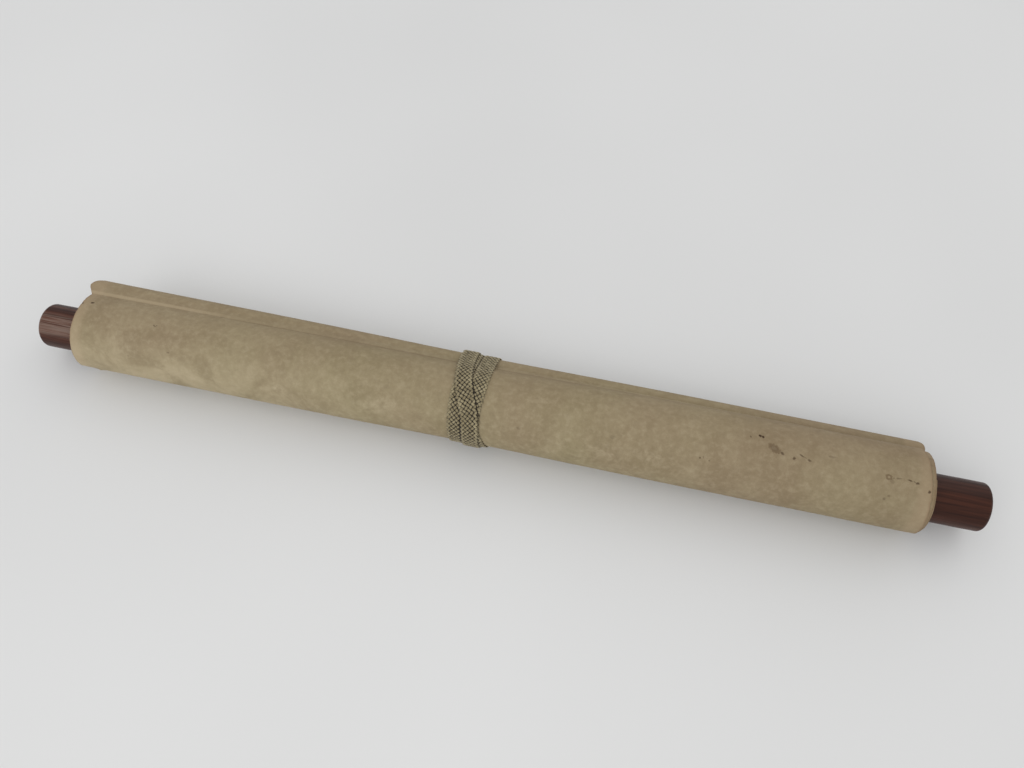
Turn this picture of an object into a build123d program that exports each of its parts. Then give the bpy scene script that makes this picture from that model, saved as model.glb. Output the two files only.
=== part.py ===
from build123d import *
from math import acos, asin, atan2, cos, degrees, radians, sin, sqrt
import os

# A hanging scroll, rolled up and tied with its braided cord.
# +X runs along the roller, +Y to the back and +Z up. Lengths are in millimetres and angles in degrees.
# The origin is on the flat underside of the cord, which the scroll rests on.
# Angles round the roll start at the front and go over the top: 0 front, 90 top, 180 back.

os.makedirs("parts", exist_ok=True)

# Roller and its turned knobs
overall_length = 600.0
knob_length = 37.9
roller_diameter = 26.0
tenon_diameter = 12.0
tenon_length = 20.0
tenon_chamfer = 0.8
knob_diameter = 29.0
knob_rim = 1.6
knob_rim_steps = 2
knob_inner_chamfer = 0.6
glue_gap = 0.05

# The rolled sheet
sheet_thickness = 0.4
full_turns = 11
turn_spacing = 0.52
roll_rise = 4.7
roller_clearance = 0.1
first_top_slack = 0.35
flat_half_width = 4.0
flat_reach = 12.5
outer_drift = -3.7
drift_rise = 5.0

# The half-round stave in the sheet's outer end
stave_overhang = 5.75
stave_height = 7.2
stave_round = 8.1
stave_corner = 0.8
stave_drift = -3.2
stave_angle = 168.0
stave_shift_left = -5.4
stave_shift_right = 9.9
pocket_gap = 0.05
crease_before_stave = 14.5
flap_spans = 3

# Wire eyelets on the stave's far side
eyelet_spacing = 264.0
eyelet_lean = 35.0
eyelet_width = 5.0
eyelet_stand = 3.6
eyelet_leg_depth = 4.5
wire_diameter = 1.2
wire_gap = 0.05

# The flat braided cord
cord_width = 10.4
cord_thickness = 1.15
cord_gap = 0.05
cord_slit = 0.2
cord_left_edge = -17.0
cord_pressed = 0.35
cord_bend = 20.0
cord_far_lane = -14.7
cord_near_lane = 1.5
cord_far_end = 205.0
cord_near_end = 210.0
cord_cross_near = (-3.2, -5.0)
cord_cross_far = (-11.4, 8.0)
cord_cross_reach = 22.0
sight_angle = 62.6

# Worked out from the values above
sheet_width = overall_length - 2 * (knob_length + glue_gap)
stave_length = sheet_width + 2 * stave_overhang
half_width = sheet_width / 2
half_thickness = sheet_thickness / 2
flat_turn = degrees(asin(flat_half_width / flat_reach))
flat_rise = flat_reach * (1 - cos(radians(flat_turn)))
rolled = full_turns * turn_spacing
roll_radius = roller_diameter / 2 + roller_clearance + sheet_thickness + rolled + flat_rise + roll_rise
outer_left = -half_width + outer_drift
outer_right = half_width + outer_drift
stave_left = stave_drift - stave_length / 2
stave_right = stave_drift + stave_length / 2
wrap = pocket_gap + sheet_thickness

# Heights of the sheet's middle line above the roller's axis, at the bottom and top of its two ends
bottom_first = -(roller_diameter / 2 + roller_clearance + half_thickness)
bottom_last = bottom_first - rolled
top_first = roller_diameter / 2 + roller_clearance + half_thickness + first_top_slack
top_last = roll_rise + roll_radius - half_thickness


def flat_step(turn):
    """How far the tight bend's centre lies from the wide one's: nothing at the roller, most outside."""
    return flat_reach * (turn + 1) / (full_turns + 1)


def flat_half(turn):
    """Half the width of the flat spot under a turn."""
    return flat_step(turn) * sin(radians(flat_turn))


def flat_drop(turn):
    """How much the flat spot takes off the round turn."""
    return flat_step(turn) / flat_reach * flat_rise


def bottom(turn):
    """Height of the sheet's middle line at the bottom, after so many turns."""
    return bottom_first + (bottom_last - bottom_first) * turn / full_turns


def top(turn):
    """Its height at the top, half a turn later."""
    return top_first + (top_last - top_first) * turn / full_turns


cord_level_one = cord_gap + cord_thickness
cord_level_two = cord_level_one + cord_thickness
axis_height = -bottom_last + half_thickness + cord_level_two - cord_pressed
roll_centre = Vector(0, roll_rise)


def section(x):
    """The plane across the roller at x: its own x axis points to the back and its y axis up."""
    return Plane(origin=(x, 0, axis_height), x_dir=(0, 1, 0), z_dir=(1, 0, 0))


def around(angle):
    """Unit vector from the roll's centre at an angle round it, in the plane across the roller."""
    return Vector(-cos(radians(angle)), sin(radians(angle)))


def onward(angle):
    """Unit vector along the roll's surface there, towards larger angles."""
    return Vector(sin(radians(angle)), cos(radians(angle)))


# Outline of the sheet across the roller


def front_half(turn, side, start):
    """Half a turn from the bottom round the front to the top, side away from the middle line."""
    radius = (top(turn) - bottom(turn) + flat_drop(turn)) / 2
    flat = Line(start, (-flat_half(turn), bottom(turn) - side))
    bend = JernArc(flat @ 1, (-1, 0), radius - flat_step(turn) + side, -flat_turn)
    return JernArc(bend @ 1, bend % 1, radius + side, flat_turn - 180)


def back_half(turn, side, start):
    """The next half turn, from the top round the back to the flat spot."""
    radius = (top(turn) - bottom(turn + 1) + flat_drop(turn + 1)) / 2
    wide = JernArc(start, (1, 0), radius + side, flat_turn - 180)
    return JernArc(wide @ 1, wide % 1, radius - flat_step(turn + 1) + side, -flat_turn)


def spiral_side(side):
    """One face of the rolled sheet, from its inner end to the bottom of the last full turn."""
    start = Vector(0, bottom(0) - side)
    for turn in range(full_turns):
        front = front_half(turn, side, start)
        back = back_half(turn, side, front @ 1)
        start = back @ 1
    Line(start, (0, bottom(full_turns) - side))


def sheet_cut(height):
    """Line across the sheet's thickness, straight above or below the axis."""
    Line((0, height - half_thickness), (0, height + half_thickness))


# The stave lies straight on the roll, a little askew to it


def stave_shift(x):
    """How far round the back the stave's middle has moved at x."""
    share = (x - stave_left) / (stave_right - stave_left)
    return stave_shift_left + (stave_shift_right - stave_shift_left) * share


def stave_point(x, across, out):
    """Point across the roller at x, given from the middle of the stave's flat."""
    from_centre = around(stave_angle) * (roll_radius + wrap + out)
    return roll_centre + from_centre + onward(stave_angle) * (stave_shift(x) + across)


def in_space(x, point):
    return Vector(x, point.X, axis_height + point.Y)


stave_start = in_space(stave_left, stave_point(stave_left, 0, 0))
stave_end = in_space(stave_right, stave_point(stave_right, 0, 0))
stave_axis = (stave_end - stave_start).normalized()
stave_run = (stave_end - stave_start).length
stave_out = Vector(0, around(stave_angle).X, around(stave_angle).Y)
stave_plane = Plane(origin=stave_start, x_dir=stave_out.cross(stave_axis), z_dir=stave_axis)

round_centre = stave_height - stave_round
corner_reach = stave_round - stave_corner
corner_across = sqrt(corner_reach**2 - (stave_corner - round_centre) ** 2)
corner_turn = degrees(atan2(stave_corner - round_centre, corner_across))


def stave_edges(grow):
    """Half-round outline with the flat towards the roll, grown evenly by grow."""
    Line((-corner_across, -grow), (corner_across, -grow))
    CenterArc((corner_across, stave_corner), stave_corner + grow, -90, 90 + corner_turn)
    CenterArc((0, round_centre), stave_round + grow, corner_turn, 180 - 2 * corner_turn)
    CenterArc((-corner_across, stave_corner), stave_corner + grow, 180 - corner_turn, 90 + corner_turn)


def flap_edges(x):
    """The sheet from the roll's top to the crease, and on in a straight slope to the stave's near corner."""
    corner = stave_point(x, -corner_across, stave_corner)
    from_roll = corner - roll_centre
    crease = degrees(atan2(from_roll.Y, -from_roll.X)) - crease_before_stave
    turned = crease - 90
    middle = roll_radius - half_thickness
    slope = (corner - roll_centre - around(crease) * middle).normalized()
    across_slope = Vector(-slope.Y, slope.X) * half_thickness
    outside = CenterArc(roll_centre, middle + half_thickness, 90, -turned)
    inside = CenterArc(roll_centre, middle - half_thickness, 90, -turned)
    Line(inside @ 0, outside @ 0)
    Line(outside @ 1, corner + across_slope)
    Line(corner + across_slope, corner - across_slope)
    Line(inside @ 1, corner - across_slope)


# Eyelets: two on the stave, each a staple of round wire driven through the sheet into the wood

eyelet_out = stave_plane.x_dir * sin(radians(eyelet_lean)) + stave_plane.y_dir * cos(radians(eyelet_lean))
eyelet_names = ["left_eyelet", "right_eyelet"]
eyelet_places = [
    stave_run / 2 - eyelet_spacing / 2,
    stave_run / 2 + eyelet_spacing / 2,
]
leg_tip = stave_round - eyelet_leg_depth
leg_top = stave_round + wrap + eyelet_stand


def eyelet_plane(place):
    """Plane along the stave through one eyelet: x along the stave, y outwards from its round face."""
    origin = stave_start + stave_axis * place + stave_plane.y_dir * round_centre
    return Plane(origin=origin, x_dir=stave_axis, z_dir=stave_axis.cross(eyelet_out))


def drill_legs():
    """Takes the holes for every eyelet's legs out of the part in hand."""
    for place in eyelet_places:
        along = eyelet_plane(place)
        seat = Plane(origin=along.origin, x_dir=along.x_dir, z_dir=along.y_dir)
        with BuildSketch(seat.offset(leg_tip - wire_gap)) as holes:
            with GridLocations(eyelet_width, 0, 2, 1):
                Circle(wire_diameter / 2 + wire_gap)
        extrude(holes.sketch, amount=eyelet_leg_depth + wrap + wire_diameter, mode=Mode.SUBTRACT)


# Roller

with BuildPart() as roller_rod:
    with BuildSketch(section(-half_width)):
        Circle(roller_diameter / 2)
    extrude(amount=sheet_width)
    with BuildSketch(section(-half_width - tenon_length)):
        Circle(tenon_diameter / 2)
    extrude(amount=sheet_width + 2 * tenon_length)
    ends = roller_rod.faces().sort_by(Axis.X)
    chamfer(ends[0].edges() + ends[-1].edges(), tenon_chamfer)
roller_rod.part.label = "roller_rod"
export_step(roller_rod.part, "parts/roller_rod.step")

# Knobs: turned on a lathe, with a blind hole for the roller's tenon. The rounded rim is a few narrow cones.

knob_inner = half_width + glue_gap
knob_face = overall_length / 2
knob_radius = knob_diameter / 2
socket_radius = tenon_diameter / 2 + glue_gap
socket_end = half_width + tenon_length + glue_gap
lathe = Plane(origin=(0, 0, axis_height), x_dir=(1, 0, 0), z_dir=(0, -1, 0))

rim_points = []
for step in range(knob_rim_steps + 1):
    turned = radians(90 * step / knob_rim_steps)
    rim_points.append((knob_face - knob_rim * (1 - sin(turned)), knob_radius - knob_rim * (1 - cos(turned))))

with BuildPart() as right_roller_knob:
    with BuildSketch(lathe):
        with BuildLine():
            Polyline(
                (socket_end, 0),
                (socket_end, socket_radius),
                (knob_inner, socket_radius),
                (knob_inner, knob_radius - knob_inner_chamfer),
                (knob_inner + knob_inner_chamfer, knob_radius),
                *rim_points,
                (knob_face, 0),
                close=True,
            )
        make_face()
    revolve(axis=Axis((0, 0, axis_height), (1, 0, 0)))
right_roller_knob.part.label = "right_roller_knob"
export_step(right_roller_knob.part, "parts/right_roller_knob.step")

with BuildPart() as left_roller_knob:
    mirror(right_roller_knob.part, about=Plane.YZ)
left_roller_knob.part.label = "left_roller_knob"
export_step(left_roller_knob.part, "parts/left_roller_knob.step")

# Stave, and the sheet's fold round it

with BuildPart() as top_stave:
    with BuildSketch(stave_plane):
        with BuildLine():
            stave_edges(0)
        make_face()
    extrude(amount=stave_run)
    drill_legs()
top_stave.part.label = "top_stave"
export_step(top_stave.part, "parts/top_stave.step")

# The last half turn that shows: it drifts sideways from the turns below, along a slanted edge at the bottom

outer_low = axis_height + bottom_last - half_thickness
outer_high = axis_height + top_last + half_thickness

with BuildPart() as outer_turn:
    with BuildSketch(section(outer_left)):
        with BuildLine():
            for side in (half_thickness, -half_thickness):
                front_half(full_turns, side, Vector(0, bottom_last - side))
            sheet_cut(bottom_last)
            sheet_cut(top_last)
        make_face()
    extrude(amount=half_width - outer_left)
    with BuildSketch(Plane.XZ.offset(-1)):
        with BuildLine():
            Polyline(
                (-half_width, outer_low - 1),
                (-half_width, outer_low),
                (outer_left, outer_low + drift_rise),
                (outer_left - 1, outer_low + drift_rise),
                (outer_left - 1, outer_low - 1),
                close=True,
            )
        make_face()
        with BuildLine():
            Polyline(
                (half_width, outer_low),
                (outer_right, outer_low + drift_rise),
                (outer_right, outer_high + 1),
                (half_width + 1, outer_high + 1),
                (half_width + 1, outer_low),
                close=True,
            )
        make_face()
    extrude(amount=roll_radius + 2, mode=Mode.SUBTRACT)

# The flap goes on over the top to the stave. Its edges run out to the stave's ends.

with BuildPart() as flap:
    for span in range(flap_spans + 1):
        x = stave_left + (stave_right - stave_left) * span / flap_spans
        with BuildSketch(section(x)):
            with BuildLine():
                flap_edges(x)
            make_face()
    loft(ruled=True)
    with BuildSketch(Plane.XY.offset(axis_height)):
        for edge_x, end_x in ((outer_left, stave_left), (outer_right, stave_right)):
            beyond = end_x + (1 if end_x > 0 else -1)
            corner = stave_point(end_x, -corner_across, stave_corner)
            with BuildLine():
                Polyline(
                    (edge_x, -1),
                    (edge_x, 0),
                    (end_x, corner.X),
                    (beyond, corner.X),
                    (beyond, -1),
                    close=True,
                )
            make_face()
    extrude(amount=roll_radius + stave_height + roll_rise, mode=Mode.SUBTRACT)

# The whole sheet. Its pocket round the stave is folded shut at both ends.

with BuildPart() as scroll_sheet:
    with BuildSketch(section(-half_width)):
        with BuildLine():
            spiral_side(half_thickness)
            spiral_side(-half_thickness)
            sheet_cut(bottom_first)
            sheet_cut(bottom_last)
        make_face()
    extrude(amount=sheet_width)
    add(outer_turn.part)
    add(flap.part)
    with BuildSketch(stave_plane.offset(-wrap)):
        with BuildLine():
            stave_edges(wrap)
        make_face()
    extrude(amount=stave_run + 2 * wrap)
    with BuildSketch(stave_plane.offset(-pocket_gap)):
        with BuildLine():
            stave_edges(pocket_gap)
        make_face()
    extrude(amount=stave_run + 2 * pocket_gap, mode=Mode.SUBTRACT)
    drill_legs()
scroll_sheet.part.label = "scroll_sheet"
export_step(scroll_sheet.part, "parts/scroll_sheet.step")

# Eyelets

for name, place in zip(eyelet_names, eyelet_places):
    with BuildPart() as eyelet:
        with BuildLine(eyelet_plane(place)) as wire:
            half = eyelet_width / 2
            Polyline((-half, leg_tip), (-half, leg_top), (half, leg_top), (half, leg_tip))
        with BuildSketch(Plane(origin=wire.line @ 0, z_dir=wire.line % 0)):
            Circle(wire_diameter / 2)
        sweep(transition=Transition.RIGHT)
    eyelet.part.label = name
    export_step(eyelet.part, "parts/" + name + ".step")

# Cord: a flat braid, twice round the roll side by side, and once more over both, crossing them on the front.
# The roll's weight presses it flat where it lies on the floor.

cord_right_edge = cord_left_edge + 2 * cord_width + cord_slit
cord_reach = 2 * roll_radius
roll_middle = Vector(0, 0, axis_height + roll_rise)
sight = around(sight_angle)
sight_plane = Plane(origin=roll_middle, x_dir=(1, 0, 0), z_dir=(0, sight.X, sight.Y))

# The tight line round the roll and its stave, where the cord lies: two round outlines and their tangents

back_radius = (top(full_turns - 1) - bottom(full_turns) + flat_drop(full_turns)) / 2
back_centre = Vector(0, top(full_turns - 1) - back_radius)
first_round = stave_point(cord_far_lane - cord_width / 2, 0, round_centre)
last_round = stave_point(cord_near_lane + cord_width / 2, 0, round_centre)


def tangent_angle(centre, radius, other, turn):
    """Angle at which the tangent shared with the stave's outer round touches; turn is the side, -1 or 1."""
    between = other - centre
    lean = degrees(acos((radius - stave_round - wrap) / between.length))
    return degrees(atan2(between.Y, -between.X)) + turn * lean


def tied_edges(grow):
    """The tight line grown by grow."""
    side = half_thickness + grow
    round_radius = stave_round + wrap + grow
    rise = tangent_angle(roll_centre, roll_radius, first_round, -1)
    fall = tangent_angle(back_centre, back_radius + half_thickness, last_round, 1)
    front_half(full_turns, side, Vector(0, bottom_last - side))
    over = CenterArc(roll_centre, roll_radius + grow, 90, 90 - rise)
    near = CenterArc(first_round, round_radius, 180 - rise, rise - stave_angle)
    far = CenterArc(last_round, round_radius, 180 - stave_angle, stave_angle - fall)
    back = CenterArc(back_centre, back_radius + side, 180 - fall, fall + flat_turn - 270)
    Line(over @ 1, near @ 0)
    Line(near @ 1, far @ 0)
    Line(far @ 1, back @ 0)
    bend = JernArc(back @ 1, back % 1, back_radius - flat_step(full_turns) + side, -flat_turn)
    Line(bend @ 1, (0, bottom_last - side))


def cord_layer(first_x, last_x, inner, outer):
    """Ring round the tied roll, between two distances from it."""
    with BuildSketch(section(first_x)) as ring:
        with BuildLine():
            tied_edges(outer)
        make_face()
        with BuildLine():
            tied_edges(inner)
        make_face(mode=Mode.SUBTRACT)
    extrude(ring.sketch, amount=last_x - first_x)


def cord_lane(middle, first_angle, last_angle):
    """Wedge of one cord's width between two angles round the roll."""
    steps = 4
    angles = [first_angle + (last_angle - first_angle) * step / steps for step in range(steps + 1)]
    with BuildSketch(section(middle - cord_width / 2)) as wedge:
        with BuildLine():
            Polyline(roll_centre, *[roll_centre + around(angle) * cord_reach for angle in angles], close=True)
        make_face()
    extrude(wedge.sketch, amount=cord_width)


with BuildPart() as crossing:
    with BuildSketch(sight_plane):
        with BuildLine():
            FilletPolyline(
                (cord_far_lane, cord_reach),
                (cord_far_lane, cord_cross_reach),
                cord_cross_far,
                cord_cross_near,
                (cord_near_lane, -cord_cross_reach),
                (cord_near_lane, -cord_reach),
                radius=cord_bend,
            )
        trace(line_width=cord_width)
    extrude(amount=cord_reach)
    cord_lane(cord_far_lane, sight_angle + 90, cord_far_end)
    cord_lane(cord_near_lane, sight_angle - 90, cord_near_end - 360)

with BuildPart() as top_pass:
    cord_layer(cord_far_lane - cord_width, cord_right_edge + cord_width, cord_level_one, cord_level_two)
    add(crossing.part, mode=Mode.INTERSECT)

with BuildPart() as wrapping_cord:
    cord_layer(cord_left_edge, cord_left_edge + cord_width, cord_gap, cord_level_one)
    cord_layer(cord_right_edge - cord_width, cord_right_edge, cord_gap, cord_level_one)
    add(top_pass.part)
    with BuildSketch():
        Rectangle(2 * cord_reach, 2 * cord_reach)
    extrude(amount=-cord_reach, mode=Mode.SUBTRACT)
wrapping_cord.part.label = "wrapping_cord"
export_step(wrapping_cord.part, "parts/wrapping_cord.step")
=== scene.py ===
import math

import bmesh
import bpy
import numpy as np
from mathutils import Matrix, Vector, noise


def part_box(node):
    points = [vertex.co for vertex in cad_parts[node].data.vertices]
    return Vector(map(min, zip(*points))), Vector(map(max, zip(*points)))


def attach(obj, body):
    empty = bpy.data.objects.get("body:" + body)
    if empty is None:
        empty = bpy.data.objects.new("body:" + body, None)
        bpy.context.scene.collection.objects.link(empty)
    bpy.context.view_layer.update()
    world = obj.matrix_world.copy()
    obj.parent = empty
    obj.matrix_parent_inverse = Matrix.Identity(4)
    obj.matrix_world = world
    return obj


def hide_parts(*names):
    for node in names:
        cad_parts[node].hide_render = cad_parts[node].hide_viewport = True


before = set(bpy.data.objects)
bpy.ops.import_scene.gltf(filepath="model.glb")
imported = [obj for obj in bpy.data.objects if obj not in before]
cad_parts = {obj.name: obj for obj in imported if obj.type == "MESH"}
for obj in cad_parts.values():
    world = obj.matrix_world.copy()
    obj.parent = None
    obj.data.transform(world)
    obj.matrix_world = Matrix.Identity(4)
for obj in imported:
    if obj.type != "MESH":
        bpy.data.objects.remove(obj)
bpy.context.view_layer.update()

# Lengths are in millimetres until a mesh is made, as in the part's source.
# Angles round the roll start at the front and go over the top: 0 front, 90 top, 180 back.

rod_low, rod_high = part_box("roller_rod")
AXIS_Z = (rod_low.z + rod_high.z) / 2 * 1000

# The roll round the rod: RISE is how far its middle lies above the rod's, and a flat foot lies under it
ROD_R = 13.0
ROD_GAP = 0.1
THICK = 0.4
HALF_T = THICK / 2
TURNS = 11
TURN_RISE = 0.52
RISE = 4.7
FLAT_REACH = 12.5
FLAT_HALF = 4.0
FLAT_TURN = math.degrees(math.asin(FLAT_HALF / FLAT_REACH))
FLAT_LOSS = 1 - math.cos(math.radians(FLAT_TURN))
ROLL_R = ROD_R + ROD_GAP + THICK + TURNS * TURN_RISE + FLAT_REACH * FLAT_LOSS + RISE
CENTRE = np.array([0.0, RISE])

# The stave: its two ends, its angle round the roll, how far it lies askew at each end, and its section
STAVE_X = (-271.0, 264.6)
STAVE_ANGLE = 168.0
STAVE_SHIFT = (-5.4, 9.9)
STAVE_H, STAVE_R, STAVE_C = 7.2, 8.1, 0.8
WRAP = 0.45
CREASE_BEFORE = 14.5
CORNER_ACROSS = math.sqrt((STAVE_R - STAVE_C) ** 2 - (STAVE_C - STAVE_H + STAVE_R) ** 2)
CORNER_TURN = math.degrees(math.atan2(STAVE_C - STAVE_H + STAVE_R, CORNER_ACROSS))

KNOB_R = 14.5
KNOB_IN, KNOB_OUT = 262.1, 300.0
KNOB_BORE, BORE_END = 6.05, 282.1
KNOB_RIM = 2.3
SHEET_HALF = 262.05


def around(angle):
    """Outward direction across the roller at an angle round the roll."""
    return np.array([-math.cos(math.radians(angle)), math.sin(math.radians(angle))])


def onward(angle):
    """Direction along the paper at an angle round the roll, towards greater angles."""
    return np.array([math.sin(math.radians(angle)), math.cos(math.radians(angle))])


def flat_step(turn):
    return FLAT_REACH * (turn + 1) / (TURNS + 1)


def flat_drop(turn):
    return flat_step(turn) * FLAT_LOSS


TOP_SLACK = 0.35
BOTTOM_0 = -(ROD_R + ROD_GAP + HALF_T)
BOTTOM_N = RISE - ROLL_R + HALF_T + flat_drop(TURNS)
TOP_0 = ROD_R + ROD_GAP + HALF_T + TOP_SLACK
TOP_N = RISE + ROLL_R - HALF_T


def bottom(turn):
    """Height of the paper's middle under the rod, at the start of a turn."""
    return BOTTOM_0 + (BOTTOM_N - BOTTOM_0) * turn / TURNS


def top(turn):
    """Height of the paper's middle over the rod, halfway through a turn."""
    return TOP_0 + (TOP_N - TOP_0) * turn / TURNS


def wobble(x, y, z=0.0):
    """Smooth noise between about -1 and 1."""
    return noise.noise(Vector((x, y, z)))


def smooth(value, low, high):
    """0 below low, 1 above high, and an even curve between."""
    t = min(1.0, max(0.0, (value - low) / (high - low)))
    return t * t * (3 - 2 * t)


TIED_AT = -9.0
LOOSE = 0.27
WAIST, WAIST_REACH = 0.81, 70.0


def swell(x):
    """How far the roll stands out from its plain round form: drawn in where it is tied."""
    return LOOSE - WAIST * math.exp(-(((x - TIED_AT) / WAIST_REACH) ** 2))


def off_foot(v):
    """0 on the flat foot that the roll rests on, 1 from a little above it; v is the length round the roll."""
    return smooth(v, -30.0, -12.0)


def swollen(point, x, share=1.0):
    """A point across the roller, moved out from the roll's middle by the swell."""
    away = point - CENTRE
    return point + away / np.linalg.norm(away) * (swell(x) * share)


# Outline of the sheet across the roller: lists of point, outward normal and angle


def arc(centre, radius, first, last, count, ends=True):
    """Points and normals round a circle between two angles; without its first point if ends is False."""
    angles = np.linspace(first, last, count + 1)
    if not ends:
        angles = angles[1:]
    return [(centre + around(a) * radius, around(a), a) for a in angles]


def front_half(turn, count, ends=True):
    """Half a turn from the bottom over the front to the top."""
    radius = (top(turn) - bottom(turn) + flat_drop(turn)) / 2
    centre = np.array([0.0, top(turn) - radius])
    step = flat_step(turn)
    bend_at = FLAT_TURN - 90
    bend = centre + around(bend_at) * step
    rows = [(np.array([0.0, bottom(turn)]), around(-90), -90.0)] if ends else []
    rows += arc(bend, radius - step, -90, bend_at, 4)
    return rows + arc(centre, radius, bend_at, 90, count, False)


def back_half(turn, count, first=90.0, ends=True):
    """Half a turn from the top, or from the angle first, over the back to the bottom."""
    radius = (top(turn) - bottom(turn + 1) + flat_drop(turn + 1)) / 2
    centre = np.array([0.0, top(turn) - radius])
    step = flat_step(turn + 1)
    bend_at = 270 - FLAT_TURN
    bend = centre + around(bend_at) * step
    rows = arc(centre, radius, first, bend_at, count, ends)
    return rows + arc(bend, radius - step, bend_at, 270, 4, False)


def stave_shift(x):
    share = (x - STAVE_X[0]) / (STAVE_X[1] - STAVE_X[0])
    return STAVE_SHIFT[0] + (STAVE_SHIFT[1] - STAVE_SHIFT[0]) * share


def stave_point(x, across, out):
    """A point of the stave's section: across its flat side, and out from the paper under it."""
    reach = around(STAVE_ANGLE) * (ROLL_R + WRAP + out)
    return CENTRE + reach + onward(STAVE_ANGLE) * (stave_shift(x) + across)


def stave_arc(x, across, out, radius, first, last, count):
    """Points round one arc of the stave's outline; 0 points along the flat and 90 away from the roll."""
    rows = []
    for a in np.linspace(first, last, count + 1):
        c, s = math.cos(math.radians(a)), math.sin(math.radians(a))
        normal = onward(STAVE_ANGLE) * c + around(STAVE_ANGLE) * s
        rows.append((stave_point(x, across + radius * c, out + radius * s), normal, 0.0))
    return rows


# Up in the photo, as a direction across the roller
SKYWARD = np.array([0.867, 0.498])
RUB_LEFT, RUB_RIGHT = 4.6, 2.2
RUB_REACH = 14


def rubbed_end(end, way, depth):
    """One end of the fold: its x, the way outwards, how deep it is rubbed and how high its outline goes."""
    rows = stave_arc(end, 0, STAVE_H - STAVE_R, STAVE_R + WRAP, 0, 180, 60)
    return end, way, depth, max(row[0] @ SKYWARD for row in rows)


RUBBED = [rubbed_end(STAVE_X[0], -1, RUB_LEFT), rubbed_end(STAVE_X[1], 1, RUB_RIGHT)]


def rubbed(x, yz):
    """Draws points in at the stave's two upper corners, which are rubbed round."""
    clear = np.clip((np.linalg.norm(yz - CENTRE, axis=-1) - ROLL_R - 0.3) / 2, 0, 1)
    for end, way, depth, highest in RUBBED:
        rise = np.clip(1 + (yz @ SKYWARD - highest) / (depth + 0.5), 0, 1)
        near = np.clip(1 - way * (end - x) / RUB_REACH, 0, 1)
        inwards = depth * (1 - np.sqrt(1 - rise * rise)) * near * near * (3 - 2 * near) * clear
        x = x - way * inwards
    return x


def flap_rows(x):
    """From the roll's top to the crease, up the strip, round the stave and back to the strip."""
    corner = stave_point(x, -CORNER_ACROSS, STAVE_C) - CENTRE
    crease = math.degrees(math.atan2(corner[1], -corner[0])) - CREASE_BEFORE
    middle = ROLL_R - HALF_T
    grow = WRAP - HALF_T
    rows = arc(CENTRE, middle, 90, crease, 26, False)
    at_crease = len(rows) - 1
    start = rows[-1][0]
    end = stave_point(x, -CORNER_ACROSS - STAVE_C - grow, STAVE_C)
    slope = (end - start) / np.linalg.norm(end - start)
    normal = np.array([-slope[1], slope[0]])
    for share in (0.06, 0.16, 0.3, 0.45, 0.6, 0.75, 0.88, 0.96):
        rows.append((start + (end - start) * share, normal, 0.0))
    centre_out = STAVE_H - STAVE_R
    rows += stave_arc(x, -CORNER_ACROSS, STAVE_C, STAVE_C + grow, 178, 180 - CORNER_TURN, 2)
    rows += stave_arc(x, 0, centre_out, STAVE_R + grow, 180 - CORNER_TURN, CORNER_TURN, 30)[1:]
    rows += stave_arc(x, CORNER_ACROSS, STAVE_C, STAVE_C + grow, CORNER_TURN, -90, 6)[1:]
    rows += stave_arc(x, -CORNER_ACROSS, STAVE_C, STAVE_C + grow, -90, -165, 5)
    return rows, at_crease


# Mesh helpers


def place(rows_x, rows_yz):
    """Vertices in metres from x along the roller and (y, z) across it."""
    out = np.empty(rows_x.shape + (3,))
    out[..., 0] = rubbed(rows_x, rows_yz)
    out[..., 1] = rows_yz[..., 0]
    out[..., 2] = rows_yz[..., 1] + AXIS_Z
    return out / 1000


def new_object(name, verts, faces):
    """A smooth mesh object with its faces turned outwards."""
    mesh = bpy.data.meshes.new(name)
    mesh.from_pydata(np.asarray(verts).tolist(), [], [list(map(int, f)) for f in faces])
    bm = bmesh.new()
    bm.from_mesh(mesh)
    bmesh.ops.recalc_face_normals(bm, faces=bm.faces)
    bm.to_mesh(mesh)
    bm.free()
    mesh.shade_smooth()
    obj = bpy.data.objects.new(name, mesh)
    bpy.context.scene.collection.objects.link(obj)
    return obj


def ring_faces(rings, count, base=0):
    """Quads between rings of count points that follow each other."""
    faces = []
    for i in range(rings - 1):
        for k in range(count):
            a = base + i * count + k
            b = base + i * count + (k + 1) % count
            faces.append((a, b, b + count, a + count))
    return faces


def thick_sheet(name, outer, inner, u=None, v=None, values=None):
    """A closed sheet from two grids of points, with u and v in millimetres as its UV map."""
    rows, cols = outer.shape[:2]
    count = rows * cols
    index = np.arange(count).reshape(rows, cols)
    quads = np.stack([index[:-1, :-1], index[:-1, 1:], index[1:, 1:], index[1:, :-1]], -1).reshape(-1, 4)
    rim = np.concatenate([index[0, :], index[1:, -1], index[-1, -2::-1], index[-2:0:-1, 0]])
    after = np.roll(rim, -1)
    side = np.stack([after, rim, rim + count, after + count], -1)
    faces = np.concatenate([quads, quads[:, ::-1] + count, side])
    obj = new_object(name, np.concatenate([outer.reshape(-1, 3), inner.reshape(-1, 3)]), faces)
    if u is not None:
        layer = obj.data.uv_layers.new(name="Sheet")
        both = np.stack([np.tile(u.reshape(-1), 2), np.tile(v.reshape(-1), 2)], -1) / 1000
        loops = np.empty(len(obj.data.loops), dtype=np.int32)
        obj.data.loops.foreach_get("vertex_index", loops)
        layer.data.foreach_set("uv", both[loops].astype(np.float32).reshape(-1))
    for key, grid in (values or {}).items():
        made = obj.data.attributes.new(key, "FLOAT", "POINT")
        made.data.foreach_set("value", np.tile(grid.reshape(-1), 2).astype(np.float32))
    return obj


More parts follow.
